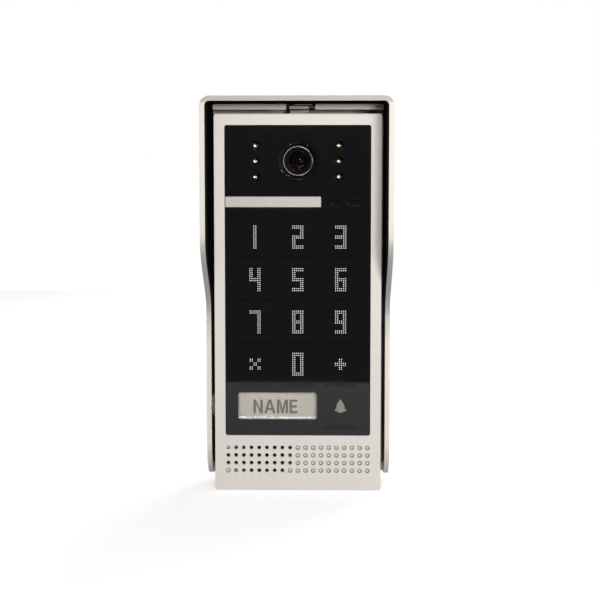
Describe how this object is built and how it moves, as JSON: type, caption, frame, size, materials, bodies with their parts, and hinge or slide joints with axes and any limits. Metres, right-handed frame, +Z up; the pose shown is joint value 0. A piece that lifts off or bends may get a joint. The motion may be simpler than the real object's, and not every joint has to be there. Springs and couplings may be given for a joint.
{
  "type": "video door station",
  "caption": "Wall-mounted video intercom call panel: metal frame, black touch-keypad window with camera, lit name card, speaker grille and a rain hood.",
  "frame": {"origin": "centre of the hood's back plate on its wall side", "axes": "+Z up, -Y out of the panel's front towards the visitor, +X to the right as the visitor sees it; the wall is the plane Y = 0"},
  "size_m": [0.083, 0.051, 0.175],
  "materials": {
    "silver_coating": "satin silver powder coat with a fine metallic grain",
    "black_acrylic": "polished black acrylic, back-printed",
    "black_liner": "matt black anti-glare film",
    "black_plastic": "moulded black ABS",
    "grey_housing": "spark-eroded dark grey ABS",
    "clear_plastic": "clear moulded polycarbonate",
    "emitter_lens": "clear epoxy lens with the chip and bond wires showing",
    "white_diffuser": "translucent white light guide",
    "card": "backlit card, warm grey",
    "flex": "amber polyimide flat cable",
    "rubber": "black silicone and EPDM",
    "circuit_board": "green solder mask over glass epoxy",
    "steel": "zinc-plated steel",
    "spring_steel": "bare spring steel",
    "terminal_green": "green screw-terminal moulding"
  },
  "bodies": {
    "hood": {"rain_hood": "silver_coating", "hood_liner": "black_liner", "hook_bracket": "spring_steel", "hook_spring": "spring_steel"},
    "panel": {"cable_grommet": "rubber", "camera_shelf": "steel", "camera_window": "clear_plastic", "capacitor": "black_plastic", "flex_cable": "flex", "front_frame": "silver_coating", "front_window": "black_acrylic", "housing_gasket": "rubber", "housing_screw_1": "steel", "housing_screw_2": "steel", "infrared_led_1": "emitter_lens", "infrared_led_2": "emitter_lens", "infrared_led_3": "emitter_lens", "infrared_led_4": "emitter_lens", "infrared_led_5": "emitter_lens", "infrared_led_6": "emitter_lens", "light_board": "circuit_board", "light_sensor": "clear_plastic", "lock_relay": "black_plastic", "lock_screw": "steel", "main_board": "circuit_board", "microphone": "steel", "microphone_boot": "rubber", "name_diffuser": "white_diffuser", "name_window": "clear_plastic", "rear_housing": "grey_housing", "speaker_basket": "black_plastic", "speaker_gasket": "rubber", "speaker_magnet": "steel", "status_lamp": "clear_plastic", "tamper_switch": "black_plastic", "terminal_block": "terminal_green", "touch_board": "circuit_board", "trim_strip": "silver_coating", "trimmer_body": "black_plastic", "video_processor": "steel", "window_tape": "rubber"},
    "name_card_carrier": {"card_carrier": "clear_plastic", "name_card": "card"},
    "camera_yoke": {"camera_yoke": "black_plastic"},
    "camera_head": {"camera_head": "black_plastic", "camera_board": "circuit_board", "lens_barrel": "black_plastic", "lens_ring": "steel", "lens_glass": "clear_plastic"},
    "tamper_plunger": {"tamper_plunger": "rubber"},
    "trimmer_rotor": {"trimmer_rotor": "white_diffuser"},
    "speaker_cone": {"speaker_cone": "black_liner"}
  },
  "joints": [
    {"name": "panel_tilt", "type": "hinge", "parent": "hood", "child": "panel", "pos_m": [0, -0.0137, 0.076], "axis": [1, 0, 0], "range_deg": [-8, 0]},
    {"name": "card_slide", "type": "slide", "parent": "panel", "child": "name_card_carrier", "axis": [-1, 0, 0], "range_m": [0, 0.04]},
    {"name": "camera_pan", "type": "hinge", "parent": "panel", "child": "camera_yoke", "pos_m": [0, -0.015, 0.0455], "axis": [0, 0, 1], "range_deg": [-10, 10]},
    {"name": "camera_tilt", "type": "hinge", "parent": "camera_yoke", "child": "camera_head", "pos_m": [0, -0.015, 0.0586], "axis": [1, 0, 0], "range_deg": [-10, 10]},
    {"name": "tamper_press", "type": "slide", "parent": "panel", "child": "tamper_plunger", "axis": [0, -1, 0], "range_m": [0, 0.0015], "stiffness_N_per_m": 250, "springref_m": -0.001},
    {"name": "volume_turn", "type": "hinge", "parent": "panel", "child": "trimmer_rotor", "pos_m": [-0.022, -0.0094, -0.04], "axis": [0, 1, 0], "range_deg": [-135, 135]},
    {"name": "cone_travel", "type": "slide", "parent": "panel", "child": "speaker_cone", "axis": [0, -1, 0], "range_m": [-0.0003, 0.0003], "stiffness_N_per_m": 1500}
  ]
}
